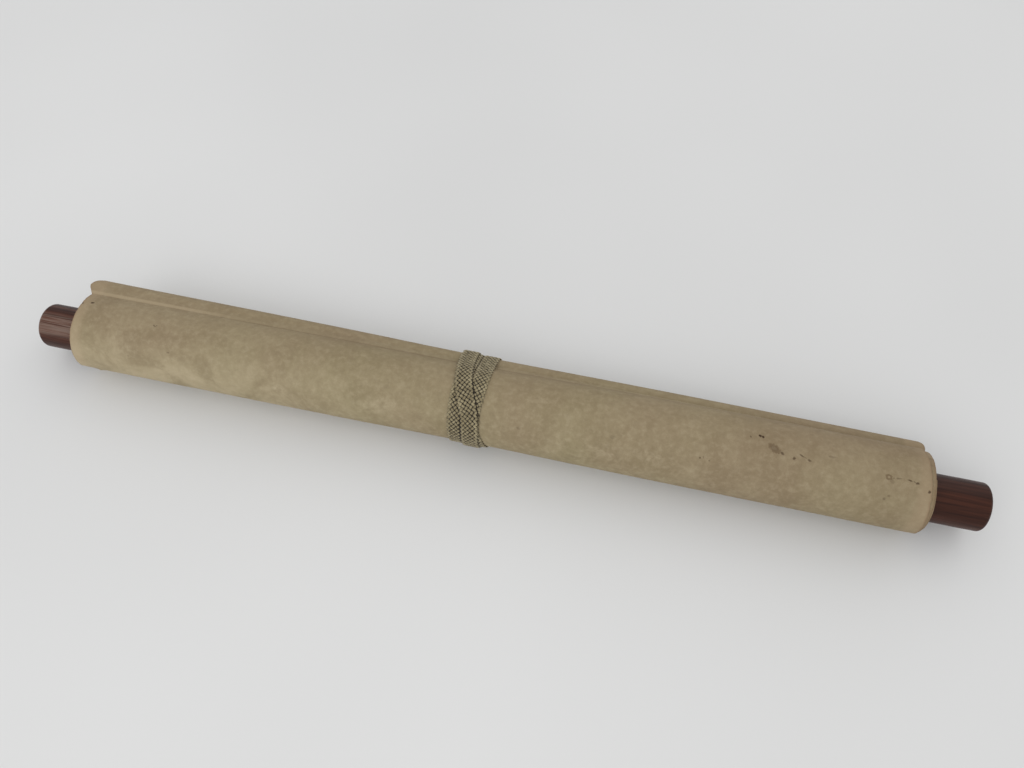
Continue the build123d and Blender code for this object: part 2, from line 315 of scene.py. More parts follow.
def tube(path, side, up, radius_side, radius_up, sides, verts, faces):
    """Adds a closed tube along path, with an oval section, to verts and faces."""
    base = len(verts)
    count = len(path)
    for p, s, n in zip(path, side, up):
        for k in range(sides):
            a = 2 * math.pi * k / sides
            verts.append(p + s * (radius_side * math.cos(a)) + n * (radius_up * math.sin(a)))
    faces += ring_faces(count, sides, base)
    faces.append(tuple(base + k for k in reversed(range(sides))))
    faces.append(tuple(base + (count - 1) * sides + k for k in range(sides)))


# Materials


class Nodes:
    """Short ways to add nodes to one material."""

    def __init__(self, name):
        self.material = bpy.data.materials.new(name)
        self.material.use_nodes = True
        self.tree = self.material.node_tree
        self.shader = self.tree.nodes["Principled BSDF"]

    def plug(self, socket, value):
        """Links another node's output to the socket, or sets it to a constant."""
        if isinstance(value, bpy.types.NodeSocket):
            self.tree.links.new(value, socket)
        else:
            socket.default_value = value

    def add(self, kind, inputs=None, **settings):
        node = self.tree.nodes.new(kind)
        for key, value in settings.items():
            setattr(node, key, value)
        for key, value in (inputs or {}).items():
            self.plug(node.inputs[key], value)
        return node

    def set(self, **values):
        for key, value in values.items():
            self.plug(self.shader.inputs[key.replace("_", " ")], value)

    def coords(self, scale=(1, 1, 1)):
        texture = self.add("ShaderNodeTexCoord")
        return self.add("ShaderNodeMapping", {"Vector": texture.outputs["Object"], "Scale": scale}).outputs[0]

    def attribute(self, name):
        return self.add("ShaderNodeAttribute", attribute_name=name).outputs["Fac"]

    def noise(self, vector, scale, detail=4.0, roughness=0.5, distortion=0.0):
        wanted = {"Vector": vector, "Scale": scale, "Detail": detail}
        wanted.update({"Roughness": roughness, "Distortion": distortion})
        return self.add("ShaderNodeTexNoise", wanted).outputs["Fac"]

    def ramp(self, value, low, high, to_low=0.0, to_high=1.0):
        wanted = {"Value": value, "From Min": low, "From Max": high, "To Min": to_low, "To Max": to_high}
        return self.add("ShaderNodeMapRange", wanted, clamp=True).outputs[0]

    def math(self, operation, a, b=0.0):
        return self.add("ShaderNodeMath", {0: a, 1: b}, operation=operation).outputs[0]

    def times(self, a, b):
        return self.math("MULTIPLY", a, b)

    def vector(self, operation, a, b):
        return self.add("ShaderNodeVectorMath", {0: a, 1: b}, operation=operation).outputs[0]

    def mix(self, factor, a, b):
        node = self.add("ShaderNodeMix", data_type="RGBA")
        for slot, value in ((0, factor), (6, a), (7, b)):
            self.plug(node.inputs[slot], value)
        return node.outputs[2]

    def bump(self, height, strength, distance):
        wanted = {"Height": height, "Strength": strength, "Distance": distance}
        return self.add("ShaderNodeBump", wanted).outputs[0]


def srgb(red, green, blue):
    """Linear colour from 0 to 255 screen values."""
    parts = [v / 255 for v in (red, green, blue)]
    return tuple(v / 12.92 if v <= 0.04045 else ((v + 0.055) / 1.055) ** 2.4 for v in parts) + (1.0,)


# Marks on the paper: x, angle round the roll, half length, half width, turn in degrees, strength
MARKS = [
    (-258.5, 103.9, 1.2, 0.8, 10, 1.0),
    (-264.6, 99.5, 0.9, 0.7, 0, 0.9),
    (-211.4, 84.7, 1.2, 0.55, -20, 0.5),
    (-209.8, 85.5, 0.5, 0.4, 0, 0.7),
    (-225.2, 32.8, 0.4, 0.8, 0, 0.4),
    (-197.8, 49.6, 0.9, 0.6, 0, 0.35),
    (132.9, 49.9, 0.5, 0.6, 0, 0.7),
    (134.7, 51.1, 0.3, 0.9, 20, 0.35),
    (138.2, 48.2, 0.5, 0.5, 0, 0.4),
    (159.0, 91.3, 0.5, 0.6, 0, 0.6),
    (164.2, 95.3, 0.9, 0.75, 0, 1.3),
    (166.0, 94.1, 0.7, 0.8, 0, 1.3),
    (172.6, 81.1, 3.1, 1.7, -28, 0.36),
    (177.2, 76.5, 1.3, 0.7, -35, 0.7),
    (184.3, 72.6, 0.95, 0.95, 0, 0.75),
    (188.2, 78.2, 1.5, 0.45, -27, 0.65),
    (192.5, 74.0, 1.3, 0.6, -24, 0.65),
    (190.3, 76.1, 1.0, 0.3, -26, 0.35),
    (238.8, 72.3, 0.6, 0.4, 0, 0.35),
    (241.5, 73.1, 1.5, 0.5, 8, 0.42),
    (247.5, 73.2, 1.4, 0.45, -8, 0.8),
    (251.6, 71.4, 0.9, 0.7, 0, 0.75),
    (249.9, 72.5, 0.8, 0.3, -15, 0.45),
    (235.8, 43.7, 0.9, 0.9, 0, 0.4),
    (237.7, 48.7, 0.8, 0.8, 0, 0.35),
    (238.0, 67.8, 1.4, 1.2, 0, 0.22),
    (258.4, 63.5, 0.8, 0.9, 0, 0.8),
    (-132.0, 163.0, 0.8, 0.5, 0, 0.6),
    (-124.5, 166.0, 1.0, 0.4, 0, 0.5),
    (204.7, 84.5, 2.2, 0.7, 0, 0.28),
    (81.9, 54.1, 1.5, 1.2, 0, 0.25),
    (26.6, 40.3, 1.4, 1.0, 0, 0.25),
]
RINGS = [(236.0, 72.5, 1.3, 1.2, 0, 0.6), (172.6, 81.1, 2.9, 1.5, -28, 0.45)]
SCUFFS = [
    (-124.2, 27.9, 4.0, 2.4, 10, 0.45),
    (-130.0, 24.0, 9.0, 4.0, -5, 0.1),
    (-191.9, 17.3, 18.0, 5.0, -6, 0.2),
    (-231.0, 40.0, 12.0, 9.0, 30, 0.15),
    (-146.3, 42.7, 7.0, 4.0, 25, 0.12),
    (105.5, 36.3, 8.0, 3.0, 0, 0.3),
    (75.9, 30.6, 9.0, 2.5, -8, 0.3),
    (35.4, 85.2, 7.0, 2.0, 5, 0.3),
    (-58.7, 32.8, 12.0, 5.0, 12, 0.25),
]


def spots(nodes, vector, marks, ring=False):
    """One mask for a list of marks."""
    total = None
    rough = nodes.noise(vector, 700.0, 2.0, 0.5)
    for x, angle, length, width, turn, strength in marks:
        mapping = nodes.add(
            "ShaderNodeMapping",
            {
                "Vector": vector,
                "Location": (x / 1000, ROLL_R * math.radians(angle) / 1000, 0),
                "Rotation": (0, 0, math.radians(turn)),
                "Scale": (length / 1000, width / 1000, 1),
            },
            vector_type="TEXTURE",
        )
        away = nodes.add("ShaderNodeVectorMath", {0: mapping.outputs[0]}, operation="LENGTH")
        far = nodes.math("ADD", away.outputs["Value"], nodes.ramp(rough, 0.3, 0.7, -0.25, 0.25))
        if ring:
            far = nodes.times(nodes.math("ABSOLUTE", nodes.math("SUBTRACT", far, 1.0)), 2.2)
        mask = nodes.ramp(far, 1.25, 0.55, 0.0, strength)
        total = mask if total is None else nodes.math("MAXIMUM", total, mask)
    return total


def paper_noises(n):
    """Noises of falling size that the paper's colour and relief are made of."""
    at = n.coords()
    return {
        "large": n.noise(at, 9.0, 3.0, 0.55, 0.6),
        "middle": n.noise(at, 38.0, 5.0, 0.6, 0.8),
        "small": n.noise(at, 190.0, 5.0, 0.65, 0.3),
        "flecks": n.noise(at, 300.0, 3.0, 0.6, 0.1),
        "fine": n.noise(at, 1500.0, 3.0, 0.6),
    }


def paper_ground(n, noises):
    """Mottled colour of the paper, with a few specks."""
    colour = n.mix(n.ramp(noises["large"], 0.36, 0.66), srgb(150, 138, 106), srgb(147, 130, 103))
    for key, low, high, share, tint in (
        ("middle", 0.42, 0.68, 0.4, srgb(170, 156, 126)),
        ("middle", 0.48, 0.3, 0.34, srgb(134, 118, 90)),
        ("small", 0.52, 0.72, 0.25, srgb(186, 171, 142)),
        ("small", 0.46, 0.28, 0.3, srgb(124, 108, 82)),
        ("flecks", 0.5, 0.68, 0.24, srgb(190, 176, 148)),
        ("flecks", 0.48, 0.32, 0.22, srgb(122, 106, 80)),
        ("fine", 0.3, 0.7, 0.22, srgb(128, 114, 88)),
    ):
        colour = n.mix(n.ramp(noises[key], low, high, 0.0, share), colour, tint)
    cells = n.add("ShaderNodeTexVoronoi", {"Vector": n.coords(), "Scale": 95.0, "Randomness": 1.0})
    pick = n.add("ShaderNodeSeparateColor", {0: cells.outputs["Color"]}).outputs[0]
    speck = n.times(n.ramp(pick, 0.93, 0.95), n.ramp(cells.outputs["Distance"], 0.085, 0.03, 0.0, 0.6))
    return n.mix(speck, colour, srgb(96, 74, 50))


def worn_edge(n, noises, colour, marked):
    """The very edge of the paper is worn brown."""
    edge = n.attribute("edge")
    worn = n.ramp(edge, 0.5, 0.92, 0.0, 0.7) if marked else n.ramp(edge, 0.1, 0.8, 0.05, 0.5)
    worn = n.times(worn, n.ramp(noises["small"], 0.3, 0.6, 0.6, 1.0))
    return n.mix(worn, colour, srgb(120, 88, 62))


def end_bands(n, noises, x, colour):
    """The last centimetre at each edge is pinker and starts at a faint line."""
    left = n.ramp(n.math("ADD", x, n.times(noises["large"], 0.006)), -0.254, -0.258)
    right = n.ramp(n.math("SUBTRACT", x, n.times(noises["large"], 0.005)), 0.2485, 0.2525)
    ends = n.math("MAXIMUM", left, right)
    colour = n.mix(n.times(ends, 0.38), colour, srgb(176, 154, 126))
    for line in (-0.2578, 0.2475):
        away = n.math("ABSOLUTE", n.math("SUBTRACT", x, line))
        colour = n.mix(n.ramp(away, 0.0009, 0.0, 0.0, 0.12), colour, srgb(134, 112, 86))
    return colour


def painted_light_and_shade_sides(n, noises, x, v, colour):
    """Painted light and shade: paler in blotches at the lower left, a little darker to the right."""
    low_left = n.times(n.ramp(v, 0.032, 0.0), n.ramp(x, -0.02, -0.18, 0.0, 0.65))
    low_left = n.times(low_left, n.ramp(noises["middle"], 0.36, 0.56, 0.3, 1.0))
    colour = n.mix(low_left, colour, srgb(190, 175, 144))
    return n.mix(n.ramp(x, 0.08, 0.24, 0.0, 0.16), colour, srgb(108, 90, 64))


def crease(n, x, colour):
    """Painted shade along the crease: a thin dark line and a shaded valley before it, with a lighter stripe
    above it at the left that is a painted highlight on the raised fold and partly paler worn paper.
    """
    fold = n.attribute("fold")
    # Painted shade in the valley before the crease.
    crease_valley_shade = n.times(n.ramp(fold, -9.0, -1.0, 0.0, 0.3), n.ramp(fold, 2.0, 0.5))
    crease_valley_shade = n.times(crease_valley_shade, n.ramp(x, -0.15, -0.05))
    colour = n.mix(crease_valley_shade, colour, srgb(112, 93, 66))
    # Painted shadow: a thin dark line along the crease.
    line = n.ramp(n.math("ABSOLUTE", n.math("ADD", fold, 0.2)), 0.75, 0.15, 0.0, 0.5)
    line = n.times(line, n.ramp(x, -0.185, -0.15, 0.05, 1.0))
    line = n.times(line, n.ramp(x, 0.2, 0.05, 0.3, 1.0))
    colour = n.mix(line, colour, srgb(112, 92, 66))
    # Painted highlight, with some worn paper, as a lighter stripe above the crease at the left.
    crease_highlight_stripe = n.times(n.ramp(fold, 0.3, 1.0), n.ramp(fold, 3.6, 2.6))
    crease_highlight_stripe = n.times(crease_highlight_stripe, n.ramp(x, -0.16, -0.2, 0.05, 0.6))
    return n.mix(crease_highlight_stripe, colour, srgb(186, 168, 138))


def marks_of_use(n, noises, flat, colour):
    """Scuffs, dark marks and rings, with outlines shaken a little."""
    shake = n.add("ShaderNodeTexNoise", {"Vector": flat, "Scale": 900.0, "Detail": 2.0}).outputs["Color"]
    shake = n.vector("SUBTRACT", shake, (0.5, 0.5, 0.5))
    shake = n.add("ShaderNodeVectorMath", {0: shake, "Scale": 0.0007}, operation="SCALE").outputs[0]
    at = n.vector("ADD", flat, shake)
    scuffs = n.times(spots(n, at, SCUFFS), n.ramp(noises["small"], 0.35, 0.6))
    colour = n.mix(scuffs, colour, srgb(193, 178, 150))
    colour = n.mix(n.math("MINIMUM", spots(n, at, MARKS), 1.0), colour, srgb(64, 44, 27))
    return n.mix(n.times(spots(n, at, RINGS, True), 0.8), colour, srgb(84, 60, 36))


def paper(name, marked):
    """Aged paper; marked is for the outermost turn, which has everything that the photo shows on it."""
    n = Nodes(name)
    noises = paper_noises(n)
    colour = worn_edge(n, noises, paper_ground(n, noises), marked)
    height = n.math("ADD", n.times(noises["middle"], 0.9), n.times(noises["small"], 0.35))
    if marked:
        flat = n.add("ShaderNodeUVMap", uv_map="Sheet").outputs[0]
        split = n.add("ShaderNodeSeparateXYZ", {0: flat})
        x, v = split.outputs[0], split.outputs[1]
        colour = end_bands(n, noises, x, colour)
        # Painted light at the lower left and painted shade to the right of the paper.
        colour = painted_light_and_shade_sides(n, noises, x, v, colour)
        colour = crease(n, x, colour)
        # Painted shade: the roll's top is darker, fading in between about 33 and 117 degrees round.
        colour = n.mix(n.ramp(v, 0.014, 0.05, 0.0, 0.26), colour, srgb(128, 108, 82))
        colour = marks_of_use(n, noises, flat, colour)
        wrinkles = n.noise(n.coords((1.0, 1.6, 1.6)), 75.0, 4.0, 0.55, 1.4)
        height = n.math("ADD", height, n.times(wrinkles, n.ramp(x, -0.1, -0.2, 0.25, 1.0)))
    fibres = n.noise(n.coords((90.0, 900.0, 900.0)), 1.0, 3.0, 0.6)
    height = n.math("ADD", height, n.times(noises["fine"], 0.12))
    height = n.math("ADD", height, n.times(fibres, 0.1))
    n.set(Base_Color=colour, Roughness=n.ramp(noises["small"], 0.3, 0.7, 0.72, 0.92), Specular_IOR_Level=0.3)
    n.set(Normal=n.bump(height, 0.55, 0.0011))
    return n.material


def painted_knob_highlight(n, scratches, colour):
    """Painted highlight: pale streaks along the upper front of the left knob, where the light's reflection
    falls.
    """
    at = n.add("ShaderNodeSeparateXYZ", {0: n.coords()}).outputs
    towards = n.math("SUBTRACT", n.times(at[2], 0.88), n.times(at[1], 0.47))
    facing = n.times(n.ramp(towards, 0.0305, 0.0325), n.ramp(at[0], -0.2, -0.26))
    streaks = n.times(facing, n.ramp(scratches, 0.4, 0.6, 0.05, 0.5))
    return n.mix(streaks, colour, srgb(150, 132, 120))


def dark_wood(name):
    n = Nodes(name)
    grain = n.noise(n.coords((18.0, 420.0, 420.0)), 1.0, 5.0, 0.6, 0.4)
    bands = n.noise(n.coords((5.0, 90.0, 90.0)), 1.0, 3.0, 0.5, 0.5)
    pores = n.noise(n.coords((70.0, 1900.0, 1900.0)), 1.0, 2.0, 0.6)
    scratches = n.noise(n.coords((26.0, 1100.0, 1100.0)), 1.0, 4.0, 0.7)
    dusty = n.noise(n.coords((40.0, 60.0, 60.0)), 1.0, 3.0)
    colour = n.mix(n.ramp(bands, 0.35, 0.65), srgb(58, 30, 20), srgb(88, 51, 38))
    colour = n.mix(n.ramp(grain, 0.42, 0.66, 0.0, 0.7), colour, srgb(34, 16, 11))
    colour = n.mix(n.ramp(pores, 0.6, 0.75, 0.0, 0.5), colour, srgb(24, 12, 10))
    worn = n.times(n.ramp(scratches, 0.6, 0.7), n.ramp(dusty, 0.5, 0.62, 0.0, 0.5))
    # The pale streaks on the left knob's upper front are a painted highlight, laid over the real scratches.
    colour = painted_knob_highlight(n, scratches, n.mix(worn, colour, srgb(140, 114, 98)))
    n.set(Base_Color=colour, Roughness=n.ramp(grain, 0.3, 0.7, 0.32, 0.48), Specular_IOR_Level=0.12)
    n.set(Coat_Weight=0.07, Coat_Roughness=0.13)
    n.set(Normal=n.bump(n.math("ADD", grain, pores), 0.25, 0.0004))
    return n.material


def plain_wood(name):
    n = Nodes(name)
    grain = n.noise(n.coords((9.0, 300.0, 300.0)), 1.0, 5.0, 0.6, 0.6)
    colour = n.mix(n.ramp(grain, 0.35, 0.7), srgb(186, 150, 104), srgb(150, 112, 72))
    n.set(Base_Color=colour, Roughness=0.7)
    n.set(Normal=n.bump(grain, 0.3, 0.0004))
    return n.material


def brass(name):
    n = Nodes(name)
    tarnish = n.noise(n.coords(), 900.0, 4.0, 0.6)
    colour = n.mix(n.ramp(tarnish, 0.4, 0.65), srgb(168, 132, 74), srgb(92, 70, 42))
    n.set(Base_Color=colour, Metallic=1.0, Roughness=n.ramp(tarnish, 0.3, 0.7, 0.3, 0.55))
    return n.material


def yarn(name, light, dark):
    n = Nodes(name)
    soft = n.noise(n.coords(), 260.0, 3.0, 0.6)
    hairs = n.noise(n.coords(), 5200.0, 3.0, 0.7)
    colour = n.mix(n.ramp(soft, 0.35, 0.65), light, dark)
    colour = n.mix(n.ramp(hairs, 0.42, 0.7, 0.0, 0.35), colour, srgb(100, 86, 60))
    depth = n.attribute("depth")
    # Painted shade: the yarn goes dark where depth is low, under crossings and beside the third lap.
    colour = n.mix(n.ramp(depth, 0.18, -0.05, 0.0, 0.95), colour, srgb(40, 31, 19))
    n.set(Base_Color=colour, Roughness=0.85, Specular_IOR_Level=0.25, Sheen_Weight=0.2, Sheen_Roughness=0.5)
    n.set(Normal=n.bump(hairs, 0.6, 0.0002))
    return n.material


def floor_material(name):
    n = Nodes(name)
    broad = n.noise(n.coords(), 2.2, 2.0, 0.5)
    colour = n.mix(n.ramp(broad, 0.3, 0.7), srgb(219, 219, 218), srgb(226, 226, 225))
    n.set(Base_Color=colour, Roughness=0.6, Specular_IOR_Level=0.2)
    return n.material


# Camera, floor and light

# The camera is the one fitted to the photo. Its place is in millimetres from the roller's middle.
PHOTO_WIDTH = 1024
FOCAL_PIXELS = 800
CAMERA_AT = (76.0, -227.7, 442.8)
CAMERA_FORWARD = (-0.12229, 0.48732, -0.86462)
CAMERA_RIGHT = (0.97474, 0.223, -0.01218)


def add_camera():
    data = bpy.data.cameras.new("camera")
    data.sensor_width = 36.0
    data.lens = data.sensor_width * FOCAL_PIXELS / PHOTO_WIDTH
    camera = bpy.data.objects.new("camera", data)
    bpy.context.scene.collection.objects.link(camera)
    forward = Vector(CAMERA_FORWARD).normalized()
    right = Vector(CAMERA_RIGHT)
    right = (right - forward * right.dot(forward)).normalized()
    turned = Matrix((right, right.cross(forward), -forward)).transposed().to_4x4()
    at = (Vector(CAMERA_AT) + Vector((0, 0, AXIS_Z))) / 1000
    camera.matrix_world = Matrix.Translation(at) @ turned
    bpy.context.scene.camera = camera


def add_world(colour, strength):
    world = bpy.data.worlds.new("world")
    bpy.context.scene.world = world
    world.use_nodes = True
    background = world.node_tree.nodes["Background"]
    background.inputs["Color"].default_value = colour
    background.inputs["Strength"].default_value = strength


def lamp(name, at, size, energy, colour=(1, 1, 1)):
    """A rectangular lamp that faces the scroll's middle."""
    data = bpy.data.lights.new(name, "AREA")
    data.shape = "RECTANGLE"
    data.size, data.size_y = size
    data.energy = energy
    data.color = colour
    obj = bpy.data.objects.new(name, data)
    obj.location = at
    obj.rotation_euler = (-Vector(at)).to_track_quat("-Z", "Y").to_euler()
    bpy.context.scene.collection.objects.link(obj)


add_camera()
floor = new_object("floor", [(-6, -6, 0), (6, -6, 0), (6, 6, 0), (-6, 6, 0)], [(0, 1, 2, 3)])
floor.data.materials.append(floor_material("pale_floor"))
add_world((0.985, 0.99, 1.0, 1.0), 0.8)
lamp("window", (1.0, 1.2, 1.5), (1.4, 1.0), 2.6, (1.0, 0.99, 0.97))
lamp("room", (-0.55, -1.3, 1.25), (1.2, 0.9), 7.0)

bpy.context.scene.view_settings.view_transform = "Standard"

# The sheet. Its edges' x is a list of (angle round the roll, x).

LEFT_EDGE = [(-150, -262.2), (-90, -264.0), (-60, -267.4), (-32, -268.4), (-12, -266.6), (5, -265.7)]
LEFT_EDGE += [(60, -265.3), (100, -264.9), (125, -265.7), (150, -266.1)]
RIGHT_EDGE = [(-150, 262.0), (-90, 263.4), (-40, 263.2), (0, 261.8), (30, 260.9), (60, 259.9)]
RIGHT_EDGE += [(95, 258.8), (130, 258.4), (150, 258.7)]
# The last two turns below stand out at the right: (turns from where each starts, x)
LAST_TURN_EDGE = [(0.0, 264.1), (0.1, 264.2), (0.225, 263.4), (0.35, 262.6), (0.45, 262.0), (0.5, 262.0)]
TURN_BEFORE_EDGE = [(0.0, 264.6), (0.1, 264.8), (0.22, 264.5), (0.35, 264.0), (0.45, 263.1)]


def edge_at(table, at):
    return np.interp(at, [a for a, _ in table], [x for _, x in table])


def edge_share(xs):
    """1 at the two ends of each row, fading inwards over a few millimetres."""
    return np.exp(-np.minimum(xs - xs[:, :1], xs[:, -1:] - xs) / 2.0)


def row_points(rows):
    return np.array([r[0] for r in rows]), np.array([r[1] for r in rows])


# The outer sheet takes over from the inner one at this angle, at the back
SEAM = 118.0
BACK_ROWS = 45
FLAP_ANGLE = 150.0
FLAKE_AT = (-255.0, -12.5)


def column_shares():
    """Shares of the way from the left edge to the right edge, closer together near both."""
    width = 530.0
    near = np.array([0.0, 0.25, 0.6, 1.1, 1.8, 2.8, 4.2, 6.0])
    middle = np.linspace(9.0, width - 9.0, 165)
    return np.concatenate([near, middle, width - near[::-1]]) / width


def row_ends(i, angle, v, crease_row):
    """Left and right end of a row of the outer sheet, a little ragged."""
    low, high = edge_at(LEFT_EDGE, angle), edge_at(RIGHT_EDGE, angle)
    if i > crease_row:
        out = smooth(i, crease_row, crease_row + 8)
        low += (STAVE_X[0] - low) * out
        high += (STAVE_X[1] - high) * out
    rag = 0.22 + 0.7 * smooth(-angle, 5, 40) * (i < crease_row)
    low += rag * wobble(0.0, v * 0.55, 3.0) + 0.5 * rag * wobble(0.0, v * 1.7, 5.0)
    high += 0.25 * wobble(9.0, v * 0.45, 7.0)
    return low, high


def outer_column(share):
    """One column of the outer sheet: x, place, normal, length round the roll and length past the crease."""
    start = back_half(TURNS - 1, 40, SEAM) + front_half(TURNS, 64)
    flap, at_crease = flap_rows(STAVE_X[0] + (STAVE_X[1] - STAVE_X[0]) * share)
    rows = start + flap
    crease_row = len(start) + at_crease
    mid, normal = row_points(rows)
    length = np.concatenate([[0.0], np.cumsum(np.linalg.norm(np.diff(mid, axis=0), axis=1))])
    front = next(i for i, r in enumerate(rows) if i > BACK_ROWS and 0 <= r[2] < 20)
    v = length - length[front] + ROLL_R * math.radians(rows[front][2])
    xs = []
    for i, row in enumerate(rows):
        angle = row[2] if row[2] or i <= crease_row else FLAP_ANGLE
        if i < BACK_ROWS:
            angle -= 360
        low, high = row_ends(i, angle, v[i], crease_row)
        xs.append(low + (high - low) * share)
    return xs, mid, normal, v, v - v[crease_row]


def paper_lift(x, v, fold):
    """How far the paper stands off its smooth form: waves, still beside the cord, and one torn flake."""
    quiet = smooth(abs(x - TIED_AT), 16.0, 30.0)
    wave = 0.16 * wobble(x / 55, v / 26, 1.0) + 0.07 * wobble(x / 17, v / 12, 2.0)
    wave += 0.09 * smooth(-x, 90, 180) * wobble((x + v) / 9, (x - v) / 16, 4.0)
    hold = off_foot(v) * smooth(-fold, -0.5, 4.0) + 0.25 * smooth(fold, 0.5, 4.0)
    flake = math.exp(-(((x - FLAKE_AT[0]) / 1.6) ** 2) - ((v - FLAKE_AT[1]) / 2.0) ** 2)
    return (wave - 0.05) * quiet * hold + flake


def outer_sheet():
    """The outermost turn, and the flap that is folded round the stave."""
    columns = [outer_column(share) for share in column_shares()]
    xs, mid, normal, v, fold = [np.swapaxes(np.array(part), 0, 1).copy() for part in zip(*columns)]
    lift = np.zeros(xs.shape)
    for spot in np.ndindex(*xs.shape):
        lift[spot] = paper_lift(xs[spot], v[spot], fold[spot])
        mid[spot] = swollen(mid[spot], xs[spot], off_foot(v[spot]))
    mid = mid + normal * lift[..., None]
    outer = place(xs, mid + normal * HALF_T)
    inner = place(xs, mid - normal * HALF_T)
    return thick_sheet("scroll_sheet_outer", outer, inner, xs, v, {"fold": fold, "edge": edge_share(xs)})


def inner_rows():
    """The turns below: rows across the roller, and at how many turns from the start each one lies."""
    rows, wind = [], []
    for turn in range(TURNS):
        first = front_half(turn, 24, turn == 0)
        rows += first
        wind += [turn + 0.5 * (r[2] + 90) / 180 for r in first]
        last = back_half(turn, 24, ends=False)
        if turn == TURNS - 1:
            radius = (top(turn) - bottom(TURNS) + flat_drop(TURNS)) / 2
            last = arc(np.array([0.0, top(turn) - radius]), radius, 90, SEAM - 0.2, 6, False)
        rows += last
        wind += [turn + 0.5 + 0.5 * (r[2] - 90) / 180 for r in last]
    return rows, np.array(wind)


def inner_ends(wind):
    """Left and right end of each row of the turns below."""
    left = np.array([-261.9 + 0.5 * wobble(w * 0.9, 1.0) + 0.25 * wobble(w * 9, 2.0) for w in wind])
    right = np.array([261.5 + 0.7 * wobble(w * 0.8, 5.0) + 0.3 * wobble(w * 8, 6.0) for w in wind])
    left, right = np.maximum(left, -SHEET_HALF), np.minimum(right, SHEET_HALF)
    before = wind - (TURNS - 2)
    right = np.where((before > 0) & (before < 0.5), edge_at(TURN_BEFORE_EDGE, before), right)
    last = np.clip(wind - (TURNS - 1), 0, 0.5)
    right = np.where(last > 0, edge_at(LAST_TURN_EDGE, last), right)
    return left, right


def inner_sheet():
    """All turns below the outermost one, a little thinner than the paper so that they stay apart."""
    rows, wind = inner_rows()
    mid, normal = row_points(rows)
    left, right = inner_ends(wind)
    rim = np.array([0.0, 0.001, 0.003, 0.008])
    shares = np.concatenate([rim, np.linspace(0.03, 0.97, 23), 1 - rim[::-1]])
    xs = left[:, None] + (right - left)[:, None] * shares[None, :]
    sway = np.array([0.06 * wobble(w * 2.3, 11.0) for w in wind])
    mid = np.repeat((mid + normal * sway[:, None])[:, None, :], len(shares), axis=1)
    for i in range(len(mid)):
        held = smooth(wind[i], TURNS - 5.0, TURNS + 0.5) * smooth(mid[i, 0, 1] - BOTTOM_N, 0.3, 8.0)
        for j in range(len(shares)):
            mid[i, j] = swollen(mid[i, j], xs[i, j], held)
    normal = np.repeat(normal[:, None, :], len(shares), axis=1)
    half = HALF_T - 0.03
    outer = place(xs, mid + normal * half)
    inner = place(xs, mid - normal * half)
    v = np.repeat(wind[:, None] * 100, len(shares), axis=1)
    return thick_sheet("scroll_sheet_inner", outer, inner, xs, v, {"edge": edge_share(xs)})


# Rings of the folded end: out from the stave's end, in from the outline, share of the way to the middle
CAP_RINGS = [(-1.4, 0.55, 0.0), (-1.0, 0.12, 0.0), (-0.45, 0.0, 0.0), (0.0, 0.05, 0.0), (0.3, 0.3, 0.0)]
CAP_RINGS += [(0.45, 0.75, 0.0), (0.42, 1.6, 0.0), (0.36, 2.6, 0.4)]


def cap_outline(end):
    grow = WRAP - 0.05
    rows = stave_arc(end, -CORNER_ACROSS, STAVE_C, STAVE_C + grow, 270, 180 - CORNER_TURN, 8)
    rows += stave_arc(end, 0, STAVE_H - STAVE_R, STAVE_R + grow, 180 - CORNER_TURN, CORNER_TURN, 30)[1:]
    return rows + stave_arc(end, CORNER_ACROSS, STAVE_C, STAVE_C + grow, CORNER_TURN, -90, 8)[1:]


def cap_vertex(end, way, out, point, dented):
    y, z = swollen(point, end)
    dent = 0.12 * wobble(y * 0.5, z * 0.5, end) * dented
    x = rubbed(end + way * (out + dent), np.array([y, z]))
    return x / 1000, y / 1000, (z + AXIS_Z) / 1000


def stave_cap(name, end, way):
    """Paper folded over the stave's end: a thin closed cap with a rounded rim."""
    points, normals = row_points(cap_outline(end))
    middle = stave_point(end, 0, 3.0)
    count = len(points)
    verts = []
    for out, inset, pull in CAP_RINGS:
        ring = points - normals * inset
        ring = ring + (middle - ring) * pull
        verts += [cap_vertex(end, way, out, point, out > 0.2) for point in ring]
    faces = ring_faces(len(CAP_RINGS), count)
    for out, first in ((CAP_RINGS[0][0], 0), (CAP_RINGS[-1][0] - 0.08, len(verts) - count)):
        hub = len(verts)
        verts.append(cap_vertex(end, way, out, middle, False))
        faces += [(hub, first + k, first + (k + 1) % count) for k in range(count)]
    return new_object(name, verts, faces)


def stave_core():
    """The wooden stave inside the fold."""
    columns = np.linspace(STAVE_X[0], STAVE_X[1], 60)
    verts = []
    for x in columns:
        rows = stave_arc(x, 0, STAVE_H - STAVE_R, STAVE_R, 180 - CORNER_TURN, CORNER_TURN, 24)
        rows += stave_arc(x, CORNER_ACROSS, STAVE_C, STAVE_C, CORNER_TURN, -90, 4)[1:]
        rows += stave_arc(x, -CORNER_ACROSS, STAVE_C, STAVE_C, 270, 180 - CORNER_TURN, 4)[:-1]
        verts += [place(np.array(x), swollen(r[0], x)) for r in rows]
    sides = len(verts) // len(columns)
    faces = ring_faces(len(columns), sides)
    faces.append(tuple(range(sides)))
    faces.append(tuple(reversed(range(len(verts) - sides, len(verts)))))
    return new_object("stave_core", verts, faces)


marked_paper = paper("aged_paper_marked", True)
inner_paper = paper("aged_paper_inner", False)

for piece, material in (
    (outer_sheet(), marked_paper),
    (inner_sheet(), inner_paper),
    (stave_cap("stave_end_fold_left", STAVE_X[0], -1), inner_paper),
    (stave_cap("stave_end_fold_right", STAVE_X[1], 1), inner_paper),
):
    piece.data.materials.append(material)
    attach(piece, "root")
    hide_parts("scroll_sheet")

# The turned knobs


